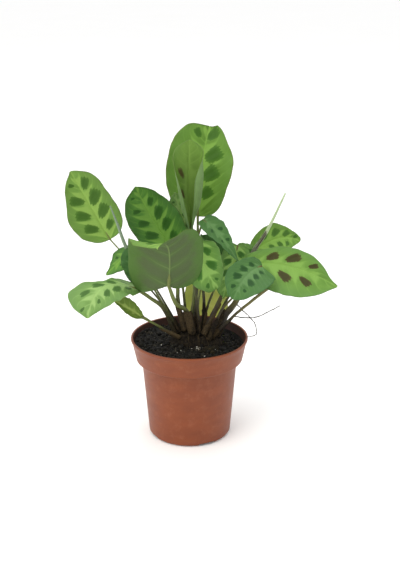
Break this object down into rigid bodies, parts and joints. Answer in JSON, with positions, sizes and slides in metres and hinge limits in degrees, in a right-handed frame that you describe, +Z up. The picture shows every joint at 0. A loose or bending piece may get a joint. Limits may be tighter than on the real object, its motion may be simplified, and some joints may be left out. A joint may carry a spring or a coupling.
{
  "type": "potted prayer plant",
  "caption": "Prayer plant with blotched oval leaves on thin petioles, growing in peat in a banded, tapered nursery pot.",
  "frame": {"origin": "centre of the flat underside of the pot, on the surface that it stands on", "axes": "+Z up along the pot's axis; -Y towards the front of the plant; +X to the right when seen from the front"},
  "size_m": [0.2696, 0.172, 0.317],
  "materials": {
    "pot_plastic": "injection-moulded terracotta polypropylene, satin",
    "peat": "moist milled peat with white perlite grains",
    "crown": "fibrous brown rhizome and old sheaths",
    "leaf_green": "living leaf, light green with dark blotches between the veins, satin",
    "leaf_dark": "living leaf, bluish dark green with darker blotches, satin",
    "leaf_under": "leaf underside, grey-green, matt, with raised pale veins",
    "leaf_old": "ageing leaf, yellow-green",
    "petiole": "olive petiole, finely ribbed, satin",
    "petiole_brown": "dark brown dried sheath",
    "spear": "rolled young leaf, pale grey-green",
    "root": "dry aerial root"
  },
  "bodies": {
    "root": {"crown": "crown", "leaf_arched": "leaf_dark", "leaf_behind_front": "leaf_dark", "leaf_dark_right": "leaf_dark", "leaf_far_right": "leaf_green", "leaf_front": "leaf_under", "leaf_furled": "leaf_green", "leaf_hanging": "leaf_green", "leaf_inner": "leaf_dark", "leaf_inner_right": "leaf_green", "leaf_inner_wavy": "leaf_green", "leaf_left_middle": "leaf_green", "leaf_low_left": "leaf_green", "leaf_old": "leaf_old", "leaf_olive": "leaf_old", "leaf_right": "leaf_green", "leaf_small_left": "leaf_green", "leaf_top": "leaf_green", "leaf_tucked": "leaf_green", "leaf_upper_left": "leaf_green", "peat": "peat", "petiole_arched": "petiole", "petiole_bare": "petiole_brown", "petiole_behind_front": "petiole", "petiole_dark_right": "petiole_brown", "petiole_far_right": "petiole", "petiole_front": "petiole", "petiole_furled": "petiole", "petiole_hanging": "petiole", "petiole_inner": "petiole", "petiole_inner_right": "petiole_brown", "petiole_inner_wavy": "petiole", "petiole_left_middle": "petiole", "petiole_low_left": "petiole", "petiole_old": "petiole", "petiole_olive": "petiole", "petiole_right": "petiole_brown", "petiole_small_left": "petiole", "petiole_top": "petiole", "petiole_tucked": "petiole", "petiole_upper_left": "petiole", "pot": "pot_plastic", "root_long": "root", "root_looped": "root", "spear_left": "spear", "spear_right": "spear"}
  },
  "joints": []
}
